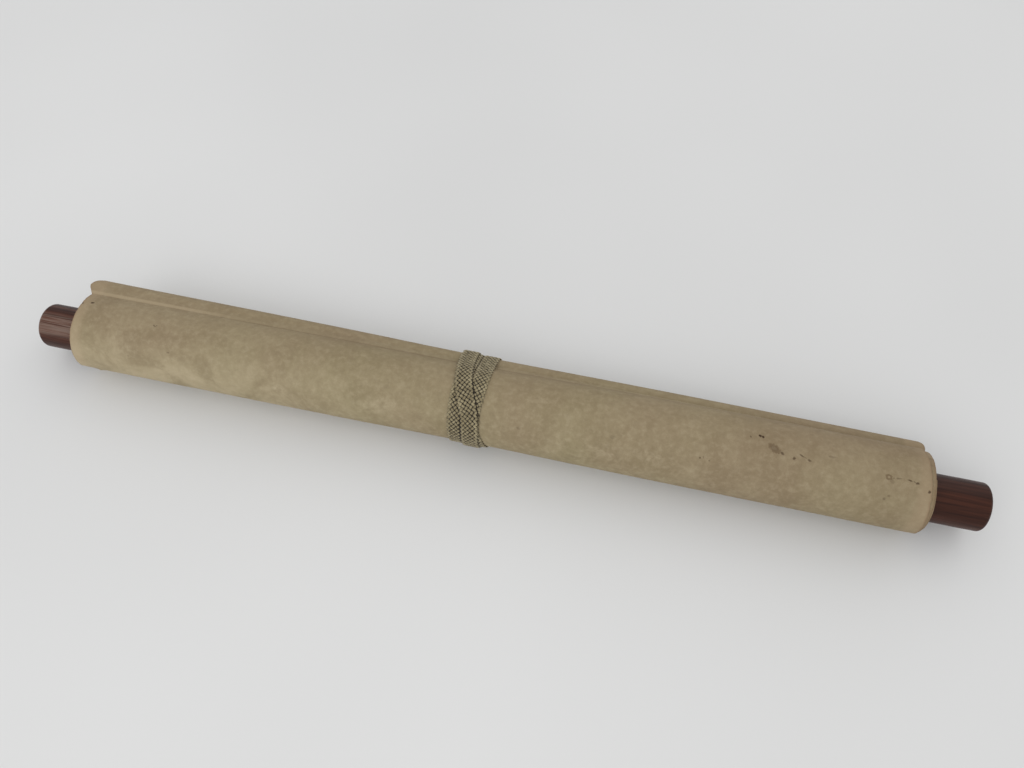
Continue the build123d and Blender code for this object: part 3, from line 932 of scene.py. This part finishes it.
def knob_profile():
    """(x, radius) from a knob's bore over its inner face, side and rim to its end, and back into the bore."""
    profile = [(KNOB_IN, KNOB_BORE), (KNOB_IN, 13.5), (KNOB_IN + 0.15, 13.85), (KNOB_IN + 0.6, KNOB_R - 0.03)]
    for x in np.linspace(KNOB_IN + 1.2, 297.2, 20):
        profile.append((x, KNOB_R - 0.05 * (1 - math.cos(x * 0.35)) / 2))
    for a in np.radians(np.linspace(0, 84, 10)):
        x = 299.55 - KNOB_RIM * (1 - math.sin(a))
        profile.append((x, KNOB_R - 0.05 - KNOB_RIM * (1 - math.cos(a))))
    for r in (11.0, 9.0, 6.5, 4.0, 2.0, 0.7):
        profile.append((KNOB_OUT - 0.44 * (r / 11.9) ** 2, r))
    return profile + [(KNOB_OUT, 0.0), (BORE_END, 0.0), (BORE_END, KNOB_BORE)]


def knob_ring(x, r, way, sides):
    """Vertices round the axis, with dents too small to see on their own; one vertex where the radius is 0."""
    if r == 0:
        return [(way * x / 1000, 0.0, AXIS_Z / 1000)]
    ring = []
    for k in range(sides):
        a = 2 * math.pi * k / sides
        rr = r + 0.035 * wobble(x / 9, 2 * math.cos(a) + way * 5, 2 * math.sin(a)) * (r > 9)
        ring.append((way * x / 1000, rr * math.cos(a) / 1000, (AXIS_Z + rr * math.sin(a)) / 1000))
    return ring


def knob(name, way):
    sides = 96
    verts, faces, rings = [], [], []
    for x, r in knob_profile():
        ring = knob_ring(x, r, way, sides)
        rings.append(list(range(len(verts), len(verts) + len(ring))))
        verts += ring
    for one, two in zip(rings, rings[1:] + rings[:1]):
        if len(one) == 1 and len(two) == 1:
            continue
        for k in range(sides):
            j = (k + 1) % sides
            if len(one) == 1:
                faces.append((one[0], two[j], two[k]))
            elif len(two) == 1:
                faces.append((one[k], one[j], two[0]))
            else:
                faces.append((one[k], one[j], two[j], two[k]))
    return new_object(name, verts, faces)


wood = dark_wood("dark_turned_wood")
for name, way, node in (
    ("turned_knob_left", -1, "left_roller_knob"),
    ("turned_knob_right", 1, "right_roller_knob"),
):
    piece = knob(name, way)
    piece.data.materials.append(wood)
    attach(piece, "root")
    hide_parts(node)

bare = plain_wood("bare_softwood")
piece = stave_core()
piece.data.materials.append(bare)
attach(piece, "root")
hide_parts("top_stave")
metal = brass("dull_brass")
for node, material in (("roller_rod", bare), ("left_eyelet", metal), ("right_eyelet", metal)):
    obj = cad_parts[node]
    if not obj.material_slots:
        obj.data.materials.append(material)
    for slot in obj.material_slots:
        slot.material = material

# The cord, a flat braid laid three times round


def hull(points):
    """Convex outline of points, counter-clockwise."""
    points = sorted(map(tuple, points))

    def turns_left(a, b, c):
        return (b[0] - a[0]) * (c[1] - a[1]) - (b[1] - a[1]) * (c[0] - a[0]) > 0

    def chain(items):
        out = []
        for p in items:
            while len(out) > 1 and not turns_left(out[-2], out[-1], p):
                out.pop()
            out.append(p)
        return out[:-1]

    return np.array(chain(points) + chain(points[::-1]))


def tied_ring(x):
    """The tight closed line round the roll and the stave at x."""
    outline = [point + normal * HALF_T for point, normal, _ in back_half(TURNS - 1, 80, 190.0)]
    for point, normal, angle in front_half(TURNS, 120) + arc(CENTRE, ROLL_R - HALF_T, 90, 150, 40):
        held = off_foot(ROLL_R * math.radians(angle))
        outline.append(swollen(point + normal * HALF_T, x, held))
    for row in stave_arc(x, 0, STAVE_H - STAVE_R, STAVE_R + WRAP, 0, 360, 90):
        outline.append(swollen(row[0], x))
    ring = hull(outline)[::-1]
    return np.vstack([ring, ring[:1]])


def rounded(points):
    """A closed line with each point moved to the mean of the nine around it."""
    wide = np.vstack([points[-4:], points, points[:4]])
    return np.stack([np.convolve(wide[:, i], np.ones(9) / 9, "valid") for i in (0, 1)], -1)


WRAP_STEPS = 720
WRAP_START = 205.0


class Wrap:
    """The line that the cord follows, measured from the back over the top to the front."""

    def __init__(self, x):
        ring = tied_ring(x)
        far = np.concatenate([[0], np.cumsum(np.linalg.norm(np.diff(ring, axis=0), axis=1))])
        self.length = far[-1]
        self.even = np.linspace(0, self.length, WRAP_STEPS + 1)[:-1]
        points = rounded(np.stack([np.interp(self.even, far, ring[:, i]) for i in (0, 1)], -1))
        ahead = np.roll(points, -1, 0) - np.roll(points, 1, 0)
        ahead /= np.linalg.norm(ahead, axis=1)[:, None]
        normal = np.stack([ahead[:, 1], -ahead[:, 0]], -1)
        if ((points - CENTRE) * normal).sum() < 0:
            normal = -normal
        angle = np.degrees(np.arctan2(points[:, 1] - RISE, -points[:, 0])) % 360
        start = int(np.argmin(np.abs(angle - WRAP_START)))
        if angle[(start + 5) % WRAP_STEPS] > angle[start]:
            points, normal, angle = points[::-1], normal[::-1], angle[::-1]
            start = int(np.argmin(np.abs(angle - WRAP_START)))
        self.points = np.roll(points, -start, 0)
        self.normal = np.roll(normal, -start, 0)
        angle = np.roll(angle, -start)
        self.angle = np.where(angle > WRAP_START + 1, angle - 360, angle)
        self.angle[0] = WRAP_START

    def along(self, angle):
        """Distance from the start to an angle between 205 and -155."""
        order = np.argsort(self.angle)
        return float(np.interp(angle, self.angle[order], self.even[order]))

    def at(self, distance, height):
        """Point and outward normal at a distance along the line, some height off it."""
        d = distance % self.length
        i = d / self.length * WRAP_STEPS
        a, b, t = int(i) % WRAP_STEPS, (int(i) + 1) % WRAP_STEPS, i - int(i)
        n = self.normal[a] * (1 - t) + self.normal[b] * t
        n = n / np.linalg.norm(n)
        return self.points[a] * (1 - t) + self.points[b] * t + n * height, n


tied = Wrap(TIED_AT)
LAP = tied.length
BAND = 10.5
STRANDS = 7
# Height of the braid's middle where it lies on the paper, and where it lies on another lap
LOW, HIGH = 0.64, 1.78


def lap_points(lap, table):
    """(distance, x, height) from (angle, x, height), for one lap."""
    return [(lap * LAP + tied.along(angle), x, height) for angle, x, height in table]


FIRST_LAP = [(200, -11.9, LOW), (150, -12.0, LOW), (96, -12.0, LOW), (60, -12.0, LOW), (30, -11.6, LOW)]
FIRST_LAP += [(-8, -11.0, LOW), (-60, -11.5, LOW), (-100, -10.4, LOW), (-140, -5.6, LOW)]
SECOND_LAP = [(190, -1.4, LOW), (149, -1.4, LOW), (110, -1.3, LOW), (83, -1.5, LOW), (54, -2.3, LOW)]
SECOND_LAP += [(32, -2.1, LOW), (18, -1.6, LOW), (3, 0.0, LOW), (-12, 1.6, LOW), (-30, 2.4, LOW)]
SECOND_LAP += [(-65, 1.4, LOW), (-105, -2.4, LOW + 0.5), (-140, -9.7, HIGH)]
THIRD_LAP = [(195, -14.1, HIGH), (170, -14.7, HIGH), (149, -14.6, HIGH), (120, -13.3, HIGH)]
THIRD_LAP += [(100, -12.1, HIGH), (80, -9.6, HIGH), (60, -5.9, HIGH), (45, -3.6, HIGH), (27, -2.6, HIGH)]
THIRD_LAP += [(0, -2.2, HIGH), (-24, -2.0, HIGH), (-55, -1.5, HIGH - 0.1), (-90, -0.2, HIGH - 0.2)]
THIRD_LAP += [(-120, 1.3, HIGH), (-146, 1.4, HIGH)]
route = np.array(lap_points(0, FIRST_LAP) + lap_points(1, SECOND_LAP) + lap_points(2, THIRD_LAP))


def ease(keys, values, at):
    """Smooth curve through the keys, with the slope of each key's neighbours."""
    slope = np.gradient(values, keys)
    i = np.clip(np.searchsorted(keys, at) - 1, 0, len(keys) - 2)
    step = keys[i + 1] - keys[i]
    t = (at - keys[i]) / step
    a, b = values[i], values[i + 1]
    return (
        (2 * t**3 - 3 * t**2 + 1) * a
        + (t**3 - 2 * t**2 + t) * step * slope[i]
        + (3 * t**2 - 2 * t**3) * b
        + (t**3 - t**2) * step * slope[i + 1]
    )


STEP = 0.5
distance = np.arange(route[0, 0], route[-1, 0], STEP)
mid_x = ease(route[:, 0], route[:, 1], distance)
mid_h = ease(route[:, 0], route[:, 2], distance)
turn_x = np.gradient(mid_x, STEP)
run = np.concatenate([[0], np.cumsum(np.hypot(1, turn_x[:-1]) * STEP)])


def band_point(s, across, height):
    """Vertex and normal of the braid: s along its middle, across it, and height from its middle."""
    d = np.interp(s, run, distance)
    x = np.interp(s, run, mid_x)
    h = np.interp(s, run, mid_h)
    tx = np.interp(s, run, turn_x)
    size = math.hypot(1, tx)
    spot, normal = tied.at(d - across * tx / size, h + height)
    point = np.array([x + across / size, spot[0], spot[1] + AXIS_Z]) / 1000
    return point, np.array([0.0, normal[0], normal[1]])


STRAND_SIDE, STRAND_UP = 0.73, 0.34
TABLE_GAP = 0.02
HALF_BAND = BAND / 2 - STRAND_SIDE + 0.08
PERIOD = 3.0 * STRANDS
STRAND_RISE = 0.27
TURN_ROUND = 0.985


def strand_place(s, index):
    """Across position and height of one strand, woven over one and under one."""
    f = (s / PERIOD + index / STRANDS) % 1.0
    across = HALF_BAND * math.asin(TURN_ROUND * math.sin(2 * math.pi * (f - 0.25))) / math.asin(TURN_ROUND)
    sign = max(-1.0, min(1.0, 4.2 * math.sin(2 * math.pi * f)))
    height = STRAND_RISE * math.cos(2 * math.pi * STRANDS * f) * sign
    return across, height


# Angles between which a painted shadow darkens the cleft beside the third lap
RIGHT_SHADOW_CLEFT, LEFT_SHADOW_CLEFT = (92, 52), (40, -12)


def shadow_beside_top(d, x):
    """Painted shadow on a point of the lower laps, from how close it is to the third lap that crosses them: 1
    at its edge.
    """
    over = d % LAP + 2 * LAP
    if d > 2 * LAP or over > distance[-1]:
        return 0.0
    middle = np.interp(over, distance, mid_x)
    gap = abs(x - middle) - BAND / 2
    first, last = RIGHT_SHADOW_CLEFT if x > middle else LEFT_SHADOW_CLEFT
    far = d % LAP
    tight = smooth(far, tied.along(first) - 4, tied.along(first) + 4)
    tight *= 1 - smooth(far, tied.along(last) - 4, tied.along(last) + 4)
    return max(0.0, min(1.0, 1.4 - gap / 0.75)) * (0.15 + 0.85 * tight)


def strand(first, last, index):
    """One strand's path, with the directions upwards and across it, and its painted shade: the lower the
    value, the darker the point.
    """
    path, up, side, painted_shade = [], [], [], []
    count = int((last - first) / 0.4)
    for i in range(count + 1):
        s = first + (last - first) * i / count
        across, height = strand_place(s, index)
        across += 0.16 * wobble(s * 0.31, index * 3.1)
        height += 0.05 * wobble(s * 0.8, index * 1.7, 3.0)
        point, normal = band_point(s, across, height)
        path.append(point)
        up.append(normal)
        # painted shade: darker where the strand dips under another and beside the third lap, weaker at the
        # turns along both edges, a little uneven
        light = height + 0.15 * smooth(abs(across), 0.72 * HALF_BAND, HALF_BAND)
        light += 0.06 * wobble(s * 0.9, index * 2.3, 7.0)
        light -= 0.7 * shadow_beside_top(np.interp(s, run, distance), point[0] * 1000)
        painted_shade.append(light)
    for i in range(len(path)):
        ahead = path[min(i + 1, len(path) - 1)] - path[max(i - 1, 0)]
        ahead = ahead / np.linalg.norm(ahead)
        across_way = np.cross(ahead, up[i])
        across_way = across_way / np.linalg.norm(across_way)
        side.append(across_way)
        up[i] = np.cross(across_way, ahead)
    return path, side, up, painted_shade


def braid_pass(name, first, last):
    """All strands of one length of the braid, kept above the table; depth holds the painted shade of each
    point.
    """
    verts, faces, depth = [], [], []
    sides = 8
    for index in range(STRANDS):
        path, side, up, painted_shade = strand(first, last, index)
        tube(path, side, up, STRAND_SIDE / 1000, STRAND_UP / 1000, sides, verts, faces)
        depth += [value for value in painted_shade for _ in range(sides)]
    verts = [np.array([x, y, max(z, TABLE_GAP / 1000)]) for x, y, z in verts]
    obj = new_object(name, verts, faces)
    values = obj.data.attributes.new("depth", "FLOAT", "POINT")
    values.data.foreach_set("value", np.array(depth, dtype=np.float32))
    return obj


def painted_shadow_band(name, first, last):
    """A thin dark band inside the braid, a painted shadow that shows between the strands."""
    count = int((last - first) / 1.5)
    shares = np.linspace(first, last, count)
    width = np.linspace(-HALF_BAND + 0.2, HALF_BAND - 0.2, 7)
    outer = np.array([[band_point(s, a, -0.18)[0] for a in width] for s in shares])
    inner = np.array([[band_point(s, a, -0.34)[0] for a in width] for s in shares])
    return thick_sheet(name, outer, inner)


cord_yarn = yarn("cord_yarn", srgb(169, 157, 124), srgb(132, 120, 91))
# Painted shadow: the dark material of the band inside the braid.
cord_painted_shadow = yarn("cord_shadow", srgb(40, 32, 20), srgb(30, 24, 16))
total = run[-1]
cuts = [run[0], total * 0.34, total * 0.67, total]
for number, (first, last) in enumerate(zip(cuts[:-1], cuts[1:])):
    for piece, material in (
        (braid_pass(f"cord_braid_{number + 1}", first, last), cord_yarn),
        (painted_shadow_band(f"cord_shadow_band_{number + 1}", first, last), cord_painted_shadow),
    ):
        piece.data.materials.append(material)
        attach(piece, "root")
        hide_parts("wrapping_cord")
